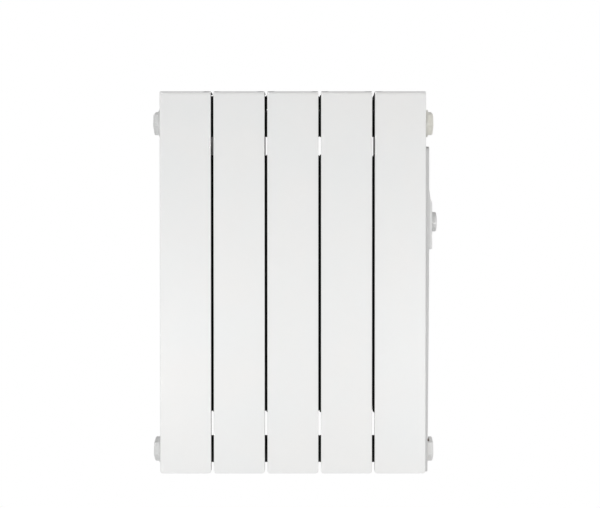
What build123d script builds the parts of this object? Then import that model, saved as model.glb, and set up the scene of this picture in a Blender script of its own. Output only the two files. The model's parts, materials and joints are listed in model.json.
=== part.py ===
"""Wall-hung, fluid-filled electric radiator with five flat die-cast aluminium sections.

Frame: X runs along the wall, +Y points into the wall and +Z is up.  The origin lies on the
wall plane, at the centre of the four upper wall fixings.  All lengths are millimetres.
Depths are counted backwards from the front faces of the sections, and heights are counted
from the middle of the front panels.
"""
from build123d import *
from math import cos, radians, sin
import os

# ---- driving dimensions -------------------------------------------------------------
SECTION_COUNT = 5
SECTION_PITCH = 80.0
SECTION_GAP = 4.0
PANEL_HEIGHT = 570.0
SECTION_DEPTH = 97.0
WALL_CLEARANCE = 25.0
HEADER_SPACING = 500.0
HEADER_BELOW_TOP = 42.9
HEADER_DEPTH = 50.0
UPPER_HEADER_Z = 15.0

PANEL_WIDTH = SECTION_PITCH - SECTION_GAP
FRONT_Y = -(SECTION_DEPTH + WALL_CLEARANCE)
PANEL_TOP_Z = UPPER_HEADER_Z + HEADER_BELOW_TOP
PANEL_BOTTOM_Z = PANEL_TOP_Z - PANEL_HEIGHT
PANEL_MID_Z = (PANEL_TOP_Z + PANEL_BOTTOM_Z) / 2
LOWER_HEADER_Z = UPPER_HEADER_Z - HEADER_SPACING
HEADER_Y = FRONT_Y + HEADER_DEPTH
END_SECTION_X = SECTION_PITCH * (SECTION_COUNT - 1) / 2

# ---- the castings -------------------------------------------------------------------
PANEL_WALL = 2.2
PANEL_CORNER = 4.0
PANEL_EDGE_ROUND = 0.9
HOOD_ROUND = 6.0
HOOD_DEPTH = 30.0
RETURN_WALL = 1.8
RETURN_DEPTH = 7.0
WEB_WALL = 2.0
TUBE_WIDTH = 26.0
TUBE_LENGTH = 36.0
TUBE_WALL = 3.0
HUB_RADIUS = 20.5
HUB_BORE = 16.5
HUB_HALF = 39.5
CORE_HOLE_Z = PANEL_BOTTOM_Z + 5.0
CAP_THICKNESS = 3.0
FIN_WALL = 1.4
FIN_TIP_GAP = 1.8
FIN_STAGGER = 1.2
END_FIN_HALF = 37.0
FIN_DEPTHS = (14.0, 28.0, 70.0, 84.0)
FIN_TOP = 192.0
FIN_BOTTOM = -196.0
HOOD_FIN_DEPTHS = (14.0, 28.0, 70.0)
HOOD_FIN_BOTTOM = 259.0
HOOD_FIN_TOP = 281.0
REAR_FIN_WALL = 1.6
REAR_FIN_HALF = 35.0
REAR_FIN_TOP = 232.0
NOTCH_BOTTOM = 188.0
NOTCH_INNER = 18.0
NOTCH_OUTER = 29.0

# ---- joints between sections and the end plugs --------------------------------------
GASKET_THICKNESS = 1.0
NIPPLE_RADIUS = 16.4
NIPPLE_BORE = 13.2
NIPPLE_LENGTH = 26.0
PLUG_GASKET_THICKNESS = 2.0
PLUG_FLANGE_RADIUS = 20.6
PLUG_FLANGE_THICKNESS = 3.8
PLUG_HEX_FLATS = 32.0
PLUG_HEX_HEIGHT = 7.6
PLUG_TURN = 11.5  # a flat looks to the front, tipped up by this much
PLUG_HEX_ROTATION = 30.0 - PLUG_TURN
PLUG_THREAD_LENGTH = 16.0
PLUG_THREAD_RADIUS = 16.4
PLUG_CHAMFER = 1.6
HUB_END_X = END_SECTION_X + HUB_HALF

# ---- immersion heater ---------------------------------------------------------------
SHEATH_RADIUS = 4.2
SHEATH_OFFSET = 7.2
HAIRPIN_END_X = -150.0
HEATER_FLANGE_RADIUS = 18.0
HEATER_FLANGE_THICKNESS = 2.5
TERMINAL_RADIUS = 2.0
TERMINAL_LENGTH = 5.0
CAP_POCKET_RADIUS = 13.4
CAP_FACE = 2.2
HEATER_THREAD_START = HUB_END_X - 18.0
HEATER_FLANGE_X = HUB_END_X + PLUG_GASKET_THICKNESS
HEATER_CAP_X = HEATER_FLANGE_X + HEATER_FLANGE_THICKNESS
CAP_OUTER_X = 213.7
LEAD_END_X = HEATER_CAP_X + 2.5

# ---- side cover, control housing and fascia -----------------------------------------
COVER_INNER_X = 198.3
COVER_OUTER_X = 204.8
COVER_TOE_X = 202.8
COVER_WALL = 1.8
COVER_FRONT = 18.0
COVER_BACK = 82.0
COVER_TOP = 204.5
COVER_BOTTOM = -287.5
HEAD_OPENING_RADIUS = 23.5
TRIM_X = 175.0
TRIM_FRONT = 17.0
TRIM_BACK = 98.0
TRIM_BOTTOM = -232.0
TRIM_TOP = 212.0
HOUSING_X = 178.0
HOUSING_OPEN_X = 200.0
HOUSING_FRONT = 24.0
HOUSING_BACK = 76.0
HOUSING_BOTTOM = 36.0
HOUSING_TOP = 150.0
HOUSING_WALL = 1.8
BOSS_HEIGHTS = (48.0, 140.0)
BOSS_RADIUS = 5.0
FASCIA_X = 210.0
FASCIA_FRONT = 22.0
FASCIA_BACK = 78.0
FASCIA_WALL = 1.8
FASCIA_BOTTOM = 49.5
FASCIA_TOP = 143.5
FASCIA_POSTS = ((28.0, 57.5), (72.0, 57.5), (28.0, 114.0), (72.0, 114.0))
POST_RADIUS = 2.8
COVER_POST_HEIGHTS = (188.0, -215.0)
COVER_POST_RADIUS = 4.0
COVER_POST_CLEARANCE = 0.1
SCREW_SEAT = 1.0
SCREW_HEAD_RADIUS = 3.4
SCREW_SHANK_RADIUS = 1.65

# ---- controls -----------------------------------------------------------------------
CONTROL_DEPTH = 50.0
KNOB_HEIGHT = 91.5
KNOB_RADIUS = 14.9
KNOB_BASE_X = 210.7
KNOB_FACE_X = 218.5
KNOB_FLUTES = 18
KNOB_FLUTE_RADIUS = 1.1
COLLAR_FOOT = 19.0
COLLAR_LIP = 16.6
COLLAR_BORE = 15.4
COLLAR_HEIGHT = 1.9
SHAFT_RADIUS = 3.0
SHAFT_CLEARANCE = 0.05
BOARD_X = 196.0
BOARD_THICKNESS = 1.6
BOARD_DEPTH = 46.0
BOARD_LENGTH = 100.0
BOARD_MID = 93.0
BOARD_FIXINGS = ((32.0, 50.0), (68.0, 50.0), (32.0, 136.0), (68.0, 136.0))
ROCKER_HEIGHT = 62.5
ROCKER_PIVOT_X = 207.4
ROCKER_TILT = 9.0
ROCKER_WIDTH = 8.0
ROCKER_HALF = 5.6
SWITCH_LENGTH = 15.0
SWITCH_WIDTH = 11.4
SWITCH_CAVITY_LENGTH = 12.6
SWITCH_CAVITY_WIDTH = 8.6
PIVOT_RADIUS = 1.0
LENS_HEIGHT = 115.0
LENS_RADIUS = 2.15

# ---- wiring -------------------------------------------------------------------------
LEAD_RADIUS = 0.9
LEAD_X = 192.0
LEAD_DEPTHS = (44.0, 56.0)
INLET_HEIGHT = 60.0
INLET_X = 188.0
INLET_BORE = 3.7
SENSOR_HEIGHT = -190.0
SENSOR_DEPTH = 69.0
SENSOR_X = 197.2
TERMINAL_BLOCK_HEIGHT = 64.0
EARTH_HEIGHT = 20.0
CUTOUT_HEIGHT = -120.0

# ---- wall brackets ------------------------------------------------------------------
BRACKET_X = 105.0
HOOK_THICKNESS = 4.0
PLATE_THICKNESS = 3.0
PLATE_WIDTH = 36.0
UPPER_PLATE_HALF = 35.0
FIXING_X = 87.0
FIXING_HALF_HEIGHT = 20.0
FIXING_RADIUS = 3.2
CRADLE_RADIUS = 22.0
PAD_WIDTH = 12.0
LOWER_FIXING_ABOVE_HEADER = 20.0

os.makedirs("parts", exist_ok=True)


def save(piece, name):
    """Label one finished piece and write it as its own STEP file."""
    piece.part.label = name
    export_step(piece.part, f"parts/{name}.step")


def depth(value):
    """Y of a point this far behind the front faces."""
    return FRONT_Y + value


def height(value):
    """Z of a point this far above the middle of the front panels."""
    return PANEL_MID_Z + value


def side_plane(x):
    """A plane facing +X whose own axes run along Y and Z."""
    return Plane(origin=(x, 0, 0), x_dir=(0, 1, 0), z_dir=(1, 0, 0))


def front_plane(y):
    """A plane facing -Y whose own axes run along X and Z."""
    return Plane(origin=(0, y, 0), x_dir=(1, 0, 0), z_dir=(0, -1, 0))


def cover_face_x(value):
    """X of the side cover's outer face at this height: flat above the middle, tapered below."""
    return COVER_OUTER_X + (COVER_OUTER_X - COVER_TOE_X) * min(value, 0) / -COVER_BOTTOM


# ---- die-cast sections --------------------------------------------------------------
def build_element(number):
    """One die-cast section: panel, web, oil tube, two header hubs and convection fins."""
    x0 = (number - (SECTION_COUNT + 1) / 2) * SECTION_PITCH
    last = number == SECTION_COUNT
    with BuildPart() as element:
        # front panel: one bent profile that runs up the face and back over the curved hood
        flat_top = PANEL_TOP_Z - HOOD_ROUND
        with BuildSketch(side_plane(x0 - PANEL_WIDTH / 2)):
            with BuildLine():
                face = Line((FRONT_Y, PANEL_BOTTOM_Z), (FRONT_Y, flat_top))
                outer = RadiusArc(face @ 1, (FRONT_Y + HOOD_ROUND, PANEL_TOP_Z), HOOD_ROUND)
                top = Line(outer @ 1, (depth(HOOD_DEPTH), PANEL_TOP_Z))
                lip = Line(top @ 1, (depth(HOOD_DEPTH), PANEL_TOP_Z - PANEL_WALL))
                under = Line(lip @ 1, (FRONT_Y + HOOD_ROUND, PANEL_TOP_Z - PANEL_WALL))
                inner = RadiusArc(under @ 1, (FRONT_Y + PANEL_WALL, flat_top), PANEL_WALL - HOOD_ROUND)
                back = Line(inner @ 1, (FRONT_Y + PANEL_WALL, PANEL_BOTTOM_Z))
                Line(back @ 1, face @ 0)
            make_face()
        extrude(amount=PANEL_WIDTH)
        fillet(element.edges().filter_by(Axis.Y).group_by(Axis.Z)[0], radius=PANEL_CORNER)
        outline = element.faces().sort_by(Axis.Y)[0].edges()
        fillet(outline.filter_by(Axis.Z), radius=PANEL_EDGE_ROUND)
        # returned side and bottom edges
        return_x = PANEL_WIDTH / 2 - RETURN_WALL / 2
        return_y = depth(1 + (RETURN_DEPTH - 1) / 2)
        with BuildSketch(Plane.XY.offset(PANEL_BOTTOM_Z + PANEL_CORNER)):
            with Locations((x0 - return_x, return_y), (x0 + return_x, return_y)):
                Rectangle(RETURN_WALL, RETURN_DEPTH - 1)
        extrude(amount=PANEL_HEIGHT - PANEL_CORNER - PANEL_WALL / 2)
        with BuildSketch(Plane.XY.offset(PANEL_BOTTOM_Z)):
            with Locations((x0, return_y)):
                Rectangle(PANEL_WIDTH - 2 * PANEL_CORNER, RETURN_DEPTH - 1)
        extrude(amount=RETURN_WALL)
        # web that carries the fins, from the panel to the rear fin
        with BuildSketch(side_plane(x0 - WEB_WALL / 2)):
            with BuildLine():
                Polyline(
                    (depth(PANEL_WALL / 2), PANEL_BOTTOM_Z + PANEL_WALL),
                    (depth(SECTION_DEPTH - 22), PANEL_BOTTOM_Z + PANEL_WALL),
                    (depth(SECTION_DEPTH - REAR_FIN_WALL / 2), PANEL_BOTTOM_Z + 22),
                    (depth(SECTION_DEPTH - REAR_FIN_WALL / 2), height(REAR_FIN_TOP)),
                    (depth(SECTION_DEPTH - 18), PANEL_TOP_Z - 2),
                    (depth(HOOD_ROUND), PANEL_TOP_Z - PANEL_WALL / 2),
                    (depth(PANEL_WALL / 2), PANEL_TOP_Z - HOOD_ROUND),
                    close=True,
                )
            make_face()
        extrude(amount=WEB_WALL)
        # oil tube and the two header hubs
        with BuildSketch(Plane.XY.offset(CORE_HOLE_Z)):
            with Locations((x0, HEADER_Y)):
                SlotOverall(TUBE_LENGTH, TUBE_WIDTH, rotation=90)
        extrude(amount=UPPER_HEADER_Z - CORE_HOLE_Z)
        with BuildSketch(side_plane(x0 - HUB_HALF)):
            with Locations((HEADER_Y, UPPER_HEADER_Z), (HEADER_Y, LOWER_HEADER_Z)):
                Circle(HUB_RADIUS)
        extrude(amount=2 * HUB_HALF)
        # convection fins: alternate rows are staggered sideways so their tips overlap
        for row, fin_depth in enumerate(FIN_DEPTHS):
            stagger = FIN_STAGGER if row % 2 else -FIN_STAGGER
            fin_left = -END_FIN_HALF if number == 1 else stagger - (SECTION_PITCH - FIN_TIP_GAP) / 2
            fin_right = END_FIN_HALF if last else stagger + (SECTION_PITCH - FIN_TIP_GAP) / 2
            spans = [(height(FIN_BOTTOM), height(FIN_TOP))]
            if fin_depth in HOOD_FIN_DEPTHS:
                spans.append((height(HOOD_FIN_BOTTOM), height(HOOD_FIN_TOP)))
            for low, high in spans:
                with BuildSketch(front_plane(depth(fin_depth))):
                    with Locations((x0 + (fin_left + fin_right) / 2, (low + high) / 2)):
                        RectangleRounded(fin_right - fin_left, high - low, 3.0)
                extrude(amount=-FIN_WALL)
        # rear fin, notched beside the upper hub where a wall hook passes
        with BuildSketch(front_plane(depth(SECTION_DEPTH - REAR_FIN_WALL))):
            rear_height = REAR_FIN_TOP - FIN_BOTTOM
            with Locations((x0, height(FIN_BOTTOM + rear_height / 2))):
                RectangleRounded(2 * REAR_FIN_HALF, rear_height, 4.0)
            notch_height = REAR_FIN_TOP - NOTCH_BOTTOM
            notch_x = (NOTCH_INNER + NOTCH_OUTER) / 2
            notch_z = height(NOTCH_BOTTOM + notch_height / 2) + 1
            with Locations((x0 - notch_x, notch_z), (x0 + notch_x, notch_z)):
                Rectangle(NOTCH_OUTER - NOTCH_INNER, notch_height + 2, mode=Mode.SUBTRACT)
        extrude(amount=-REAR_FIN_WALL)
        # the last section is milled away on its outer side for the control housing and wiring
        if last:
            trim_width = HOUSING_OPEN_X + 1 - TRIM_X
            trim_x = TRIM_X + trim_width / 2
            with BuildSketch(Plane.XY.offset(height(TRIM_BOTTOM))):
                with Locations((trim_x, depth((TRIM_FRONT + TRIM_BACK) / 2))):
                    Rectangle(trim_width, TRIM_BACK - TRIM_FRONT)
            extrude(amount=TRIM_TOP - TRIM_BOTTOM, mode=Mode.SUBTRACT)
            # the rear fin stops short on this side all the way up, clear of the cord's way in
            with BuildSketch(Plane.XY.offset(height(TRIM_TOP - 2))):
                with Locations((trim_x, depth(SECTION_DEPTH - 4))):
                    Rectangle(trim_width, 12)
            extrude(amount=REAR_FIN_TOP + 4 - TRIM_TOP, mode=Mode.SUBTRACT)
            with BuildSketch(side_plane(x0 + TUBE_WIDTH / 2 - 1)):
                with Locations(*[(HEADER_Y, height(h)) for h in BOSS_HEIGHTS]):
                    Circle(BOSS_RADIUS)
            extrude(amount=HOUSING_X - x0 - TUBE_WIDTH / 2 + 1)
            for post_height in COVER_POST_HEIGHTS:
                post_end_x = cover_face_x(post_height) - COVER_WALL - COVER_POST_CLEARANCE
                with BuildSketch(side_plane(x0 + TUBE_WIDTH / 2 - 1)):
                    with Locations((HEADER_Y, height(post_height))):
                        Circle(COVER_POST_RADIUS)
                extrude(amount=post_end_x - x0 - TUBE_WIDTH / 2 + 1)
            with BuildSketch(side_plane(x0 + TUBE_WIDTH / 2 - TUBE_WALL + 1)):
                with Locations(*[(HEADER_Y, height(h)) for h in BOSS_HEIGHTS + COVER_POST_HEIGHTS]):
                    Circle(1.7)
                with Locations((HEADER_Y, height(20))):
                    Circle(1.7)
            extrude(amount=34, mode=Mode.SUBTRACT)
        # oil passages
        with BuildSketch(Plane.XY.offset(CORE_HOLE_Z)):
            with Locations((x0, HEADER_Y)):
                SlotOverall(TUBE_LENGTH - 2 * TUBE_WALL, TUBE_WIDTH - 2 * TUBE_WALL, rotation=90)
        extrude(amount=UPPER_HEADER_Z - CORE_HOLE_Z, mode=Mode.SUBTRACT)
        with BuildSketch(side_plane(x0 - HUB_HALF)):
            with Locations((HEADER_Y, UPPER_HEADER_Z), (HEADER_Y, LOWER_HEADER_Z)):
                Circle(HUB_BORE)
        extrude(amount=2 * HUB_HALF, mode=Mode.SUBTRACT)
    save(element, f"element_{number}")


for number in range(1, SECTION_COUNT + 1):
    build_element(number)

section_centres = [(n - (SECTION_COUNT - 1) / 2) * SECTION_PITCH for n in range(SECTION_COUNT)]
joint_centres = [x + SECTION_PITCH / 2 for x in section_centres[:-1]]

with BuildPart() as base_caps:
    with BuildSketch(Plane.XY.offset(CORE_HOLE_Z)):
        with Locations(*[(x, HEADER_Y) for x in section_centres]):
            SlotOverall(TUBE_LENGTH - 2 * TUBE_WALL - 0.1, TUBE_WIDTH - 2 * TUBE_WALL - 0.1, rotation=90)
    extrude(amount=CAP_THICKNESS)
save(base_caps, "base_caps")


def build_nipples(name, axis_z):
    """The threaded rings that draw neighbouring sections together."""
    with BuildPart() as nipples:
        for x in joint_centres:
            with BuildSketch(side_plane(x - NIPPLE_LENGTH / 2)):
                with Locations((HEADER_Y, axis_z)):
                    Circle(NIPPLE_RADIUS)
                    Circle(NIPPLE_BORE, mode=Mode.SUBTRACT)
            extrude(amount=NIPPLE_LENGTH)
    save(nipples, name)


build_nipples("upper_nipples", UPPER_HEADER_Z)
build_nipples("lower_nipples", LOWER_HEADER_Z)

with BuildPart() as joint_gaskets:
    for x in joint_centres:
        with BuildSketch(side_plane(x - GASKET_THICKNESS / 2)):
            with Locations((HEADER_Y, UPPER_HEADER_Z), (HEADER_Y, LOWER_HEADER_Z)):
                Circle(HUB_RADIUS - 0.6)
                Circle(HUB_BORE, mode=Mode.SUBTRACT)
        extrude(amount=GASKET_THICKNESS)
save(joint_gaskets, "joint_gaskets")

with BuildPart() as plug_gaskets:
    for side in (-1, 1):
        with BuildSketch(side_plane(side * HUB_END_X)):
            with Locations((HEADER_Y, UPPER_HEADER_Z), (HEADER_Y, LOWER_HEADER_Z)):
                Circle(HUB_RADIUS - 2.2)
                Circle(HUB_BORE, mode=Mode.SUBTRACT)
        extrude(amount=side * PLUG_GASKET_THICKNESS)
save(plug_gaskets, "plug_gaskets")


def build_plug(name, side, axis_z):
    """End plug: thread, round flange and a chamfered hexagon head."""
    flange_x = side * (HUB_END_X + PLUG_GASKET_THICKNESS)
    head_x = flange_x + side * PLUG_FLANGE_THICKNESS
    with BuildPart() as plug:
        with BuildSketch(side_plane(flange_x)):
            with Locations((HEADER_Y, axis_z)):
                Circle(PLUG_THREAD_RADIUS)
                Circle(PLUG_THREAD_RADIUS - 3.4, mode=Mode.SUBTRACT)
        extrude(amount=-side * (PLUG_THREAD_LENGTH + PLUG_GASKET_THICKNESS))
        with BuildSketch(side_plane(flange_x)):
            with Locations((HEADER_Y, axis_z)):
                Circle(PLUG_FLANGE_RADIUS)
        extrude(amount=side * PLUG_FLANGE_THICKNESS)
        with BuildSketch(side_plane(head_x)):
            with Locations((HEADER_Y, axis_z)):
                RegularPolygon(PLUG_HEX_FLATS / 2, 6, major_radius=False, rotation=PLUG_HEX_ROTATION)
        extrude(amount=side * PLUG_HEX_HEIGHT)
        outer = plug.faces().sort_by(Axis.X)[-1 if side > 0 else 0]
        chamfer(outer.edges(), length=PLUG_CHAMFER)
        with BuildSketch(side_plane(head_x + side * PLUG_HEX_HEIGHT)):
            with Locations((HEADER_Y, axis_z)):
                Circle(PLUG_HEX_FLATS / 2 - 4.5)
        extrude(amount=-side * 1.2, mode=Mode.SUBTRACT)
    save(plug, name)


build_plug("upper_left_plug", -1, UPPER_HEADER_Z)
build_plug("lower_left_plug", -1, LOWER_HEADER_Z)
build_plug("upper_right_plug", 1, UPPER_HEADER_Z)

# ---- immersion heater in the lower header -------------------------------------------
SHEATH_ENDS = [(HEADER_Y + step, LOWER_HEADER_Z) for step in (-SHEATH_OFFSET, SHEATH_OFFSET)]

with BuildPart() as heating_element:
    start_x = HEATER_FLANGE_X - 8.0
    with BuildLine(Plane((0, HEADER_Y, LOWER_HEADER_Z))):
        Line((start_x, -SHEATH_OFFSET), (HAIRPIN_END_X, -SHEATH_OFFSET))
        ThreePointArc(
            (HAIRPIN_END_X, -SHEATH_OFFSET),
            (HAIRPIN_END_X - SHEATH_OFFSET, 0),
            (HAIRPIN_END_X, SHEATH_OFFSET),
        )
        Line((HAIRPIN_END_X, SHEATH_OFFSET), (start_x, SHEATH_OFFSET))
    with BuildSketch(side_plane(start_x)):
        with Locations((HEADER_Y - SHEATH_OFFSET, LOWER_HEADER_Z)):
            Circle(SHEATH_RADIUS)
    sweep()
save(heating_element, "heating_element")

with BuildPart() as heater_head:
    with BuildSketch(side_plane(HEATER_THREAD_START)):
        with Locations((HEADER_Y, LOWER_HEADER_Z)):
            Circle(PLUG_THREAD_RADIUS)
    extrude(amount=HEATER_FLANGE_X - HEATER_THREAD_START)
    with BuildSketch(side_plane(HEATER_FLANGE_X)):
        with Locations((HEADER_Y, LOWER_HEADER_Z)):
            Circle(HEATER_FLANGE_RADIUS)
    extrude(amount=HEATER_FLANGE_THICKNESS)
    with BuildSketch(side_plane(HEATER_THREAD_START)):
        with Locations(*SHEATH_ENDS):
            Circle(SHEATH_RADIUS)
    extrude(amount=HEATER_FLANGE_X - 8.0 - HEATER_THREAD_START, mode=Mode.SUBTRACT)
save(heater_head, "heater_head")

with BuildPart() as heater_terminals:
    with BuildSketch(side_plane(HEATER_CAP_X)):
        with Locations(*SHEATH_ENDS):
            Circle(TERMINAL_RADIUS)
    extrude(amount=TERMINAL_LENGTH)
save(heater_terminals, "heater_terminals")

with BuildPart() as heater_cap:
    with BuildSketch(side_plane(HEATER_CAP_X)):
        with Locations((HEADER_Y, LOWER_HEADER_Z)):
            RegularPolygon(PLUG_HEX_FLATS / 2, 6, major_radius=False, rotation=PLUG_HEX_ROTATION)
    extrude(amount=CAP_OUTER_X - HEATER_CAP_X)
    chamfer(heater_cap.faces().sort_by(Axis.X)[-1].edges(), length=PLUG_CHAMFER)
    with BuildSketch(side_plane(HEATER_CAP_X)):
        with Locations((HEADER_Y, LOWER_HEADER_Z)):
            Circle(CAP_POCKET_RADIUS)
    extrude(amount=CAP_OUTER_X - HEATER_CAP_X - CAP_FACE, mode=Mode.SUBTRACT)
    # the leads enter through a slot in the upper flats
    with BuildSketch(Plane.XY.offset(LOWER_HEADER_Z + 6)):
        with Locations((HEATER_CAP_X + 2, HEADER_Y)):
            Rectangle(4, 20)
    extrude(amount=20, mode=Mode.SUBTRACT)
save(heater_cap, "heater_cap")

# ---- side cover ---------------------------------------------------------------------
with BuildPart() as side_cover:
    with BuildSketch(front_plane(depth(COVER_FRONT))):
        with BuildLine():
            Polyline(
                (COVER_INNER_X, height(COVER_TOP)),
                (COVER_OUTER_X, height(COVER_TOP)),
                (COVER_OUTER_X, height(0)),
                (COVER_TOE_X, height(COVER_BOTTOM)),
                (COVER_INNER_X, height(COVER_BOTTOM)),
                close=True,
            )
        make_face()
    extrude(amount=COVER_FRONT - COVER_BACK)
    corner_edges = side_cover.edges().filter_by(Axis.X)
    fillet(corner_edges, radius=7.0)
    with BuildSketch(front_plane(depth(COVER_FRONT + COVER_WALL))):
        with BuildLine():
            Polyline(
                (COVER_INNER_X, height(COVER_TOP - COVER_WALL)),
                (COVER_OUTER_X - COVER_WALL, height(COVER_TOP - COVER_WALL)),
                (COVER_OUTER_X - COVER_WALL, height(0)),
                (COVER_TOE_X - COVER_WALL, height(COVER_BOTTOM + COVER_WALL)),
                (COVER_INNER_X, height(COVER_BOTTOM + COVER_WALL)),
                close=True,
            )
        make_face()
    extrude(amount=COVER_FRONT - COVER_BACK + 2 * COVER_WALL, mode=Mode.SUBTRACT)
    # openings for the heater head, the controls and the screws
    with BuildSketch(side_plane(COVER_INNER_X)):
        with Locations((HEADER_Y, LOWER_HEADER_Z)):
            Circle(HEAD_OPENING_RADIUS)
        with Locations((HEADER_Y, height(90))):
            Rectangle(34, 76)
        with Locations(*[(depth(d), height(h)) for d, h in FASCIA_POSTS]):
            Circle(1.5)
        with Locations(*[(HEADER_Y, height(h)) for h in COVER_POST_HEIGHTS]):
            Circle(1.9)
        # slots that let room air reach the sensor
        with Locations((depth(SENSOR_DEPTH), height(SENSOR_HEIGHT))):
            with GridLocations(0, 4.5, 1, 7):
                SlotOverall(14, 1.8)
    extrude(amount=10, mode=Mode.SUBTRACT)
    for screw_height in COVER_POST_HEIGHTS:
        with BuildSketch(side_plane(cover_face_x(screw_height) - SCREW_SEAT)):
            with Locations((HEADER_Y, height(screw_height))):
                Circle(SCREW_HEAD_RADIUS + 0.2)
        extrude(amount=5, mode=Mode.SUBTRACT)
save(side_cover, "side_cover")

with BuildPart() as cover_screws:
    for screw_height in COVER_POST_HEIGHTS:
        seat_x = cover_face_x(screw_height) - SCREW_SEAT
        with BuildSketch(side_plane(seat_x)):
            with Locations((HEADER_Y, height(screw_height))):
                Circle(SCREW_HEAD_RADIUS)
        extrude(amount=SCREW_SEAT - 0.1)
        with BuildSketch(side_plane(seat_x)):
            with Locations((HEADER_Y, height(screw_height))):
                Circle(SCREW_SHANK_RADIUS)
        extrude(amount=-20)
        with BuildSketch(side_plane(seat_x + 0.3)):
            with Locations((HEADER_Y, height(screw_height))):
                Rectangle(4.2, 0.9)
                Rectangle(0.9, 4.2)
        extrude(amount=SCREW_SEAT, mode=Mode.SUBTRACT)
save(cover_screws, "cover_screws")

# ---- control housing, recessed into the last section --------------------------------
housing_mid_z = height((HOUSING_BOTTOM + HOUSING_TOP) / 2)
housing_mid_y = depth((HOUSING_FRONT + HOUSING_BACK) / 2)
housing_depth = HOUSING_BACK - HOUSING_FRONT
housing_length = HOUSING_TOP - HOUSING_BOTTOM

with BuildPart() as control_housing:
    with BuildSketch(side_plane(HOUSING_X)):
        with Locations((housing_mid_y, housing_mid_z)):
            RectangleRounded(housing_depth, housing_length, 5.0)
    extrude(amount=HOUSING_OPEN_X - HOUSING_X)
    with BuildSketch(side_plane(HOUSING_X + HOUSING_WALL)):
        with Locations((housing_mid_y, housing_mid_z)):
            RectangleRounded(housing_depth - 2 * HOUSING_WALL, housing_length - 2 * HOUSING_WALL, 3.4)
    extrude(amount=HOUSING_OPEN_X - HOUSING_X, mode=Mode.SUBTRACT)
    # standoffs for the control board
    with BuildSketch(side_plane(HOUSING_X + HOUSING_WALL / 2)):
        with Locations(*[(depth(d), height(h)) for d, h in BOARD_FIXINGS]):
            Circle(3.0)
    extrude(amount=BOARD_X - HOUSING_X - HOUSING_WALL / 2)
    with BuildSketch(side_plane(HOUSING_X + 4)):
        with Locations(*[(depth(d), height(h)) for d, h in BOARD_FIXINGS]):
            Circle(1.2)
    extrude(amount=BOARD_X - HOUSING_X, mode=Mode.SUBTRACT)
    # screw holes, lead slot in the lower wall and cord inlet in the rear wall
    with BuildSketch(side_plane(HOUSING_X)):
        with Locations(*[(HEADER_Y, height(h)) for h in BOSS_HEIGHTS]):
            Circle(2.1)
    extrude(amount=HOUSING_WALL, mode=Mode.SUBTRACT)
    with BuildSketch(Plane.XY.offset(height(HOUSING_BOTTOM))):
        with Locations((LEAD_X, HEADER_Y)):
            RectangleRounded(6, 28, 2)
    extrude(amount=HOUSING_WALL, mode=Mode.SUBTRACT)
    with BuildSketch(front_plane(depth(HOUSING_BACK - HOUSING_WALL))):
        with Locations((INLET_X, height(INLET_HEIGHT))):
            Circle(6.0)
    extrude(amount=-HOUSING_WALL, mode=Mode.SUBTRACT)
save(control_housing, "control_housing")

with BuildPart() as housing_screws:
    for screw_height in BOSS_HEIGHTS:
        with BuildSketch(side_plane(HOUSING_X + HOUSING_WALL)):
            with Locations((HEADER_Y, height(screw_height))):
                Circle(3.8)
        extrude(amount=2.4)
        with BuildSketch(side_plane(HOUSING_X + HOUSING_WALL)):
            with Locations((HEADER_Y, height(screw_height))):
                Circle(1.65)
        extrude(amount=-6.5)
save(housing_screws, "housing_screws")

with BuildPart() as cable_grommet:
    grommet_y = depth(HOUSING_BACK)
    with BuildSketch(front_plane(grommet_y - HOUSING_WALL - 1.5)):
        with Locations((INLET_X, height(INLET_HEIGHT))):
            Circle(7.4)
    extrude(amount=-1.5)
    with BuildSketch(front_plane(grommet_y - HOUSING_WALL)):
        with Locations((INLET_X, height(INLET_HEIGHT))):
            Circle(6.0)
    extrude(amount=-HOUSING_WALL)
    with BuildSketch(front_plane(grommet_y)):
        with Locations((INLET_X, height(INLET_HEIGHT))):
            Circle(7.4)
    extrude(amount=-3.0, taper=12)
    with BuildSketch(front_plane(grommet_y - HOUSING_WALL - 1.5)):
        with Locations((INLET_X, height(INLET_HEIGHT))):
            Circle(INLET_BORE)
    extrude(amount=-(HOUSING_WALL + 4.5), mode=Mode.SUBTRACT)
save(cable_grommet, "cable_grommet")

# ---- control board and what it carries ----------------------------------------------
control_y = depth(CONTROL_DEPTH)
knob_z = height(KNOB_HEIGHT)
rocker_z = height(ROCKER_HEIGHT)
lens_z = height(LENS_HEIGHT)
board_face_x = BOARD_X + BOARD_THICKNESS

with BuildPart() as control_board:
    with BuildSketch(side_plane(BOARD_X)):
        with Locations((control_y, height(BOARD_MID))):
            RectangleRounded(BOARD_DEPTH, BOARD_LENGTH, 2.0)
        with Locations(*[(depth(d), height(h)) for d, h in BOARD_FIXINGS]):
            Circle(1.5, mode=Mode.SUBTRACT)
    extrude(amount=BOARD_THICKNESS)
save(control_board, "control_board")

with BuildPart() as board_screws:
    with BuildSketch(side_plane(board_face_x)):
        with Locations(*[(depth(d), height(h)) for d, h in BOARD_FIXINGS]):
            Circle(2.6)
    extrude(amount=1.6)
    with BuildSketch(side_plane(board_face_x)):
        with Locations(*[(depth(d), height(h)) for d, h in BOARD_FIXINGS]):
            Circle(1.15)
    extrude(amount=-8)
save(board_screws, "board_screws")

with BuildPart() as power_relay:
    with BuildSketch(side_plane(BOARD_X)):
        with Locations((depth(41), height(112))):
            RectangleRounded(13, 20, 0.8)
    extrude(amount=-12)
save(power_relay, "power_relay")

with BuildPart() as smoothing_capacitor:
    with BuildSketch(side_plane(BOARD_X)):
        with Locations((depth(58), height(116))):
            Circle(4.0)
    extrude(amount=-12)
save(smoothing_capacitor, "smoothing_capacitor")

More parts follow.
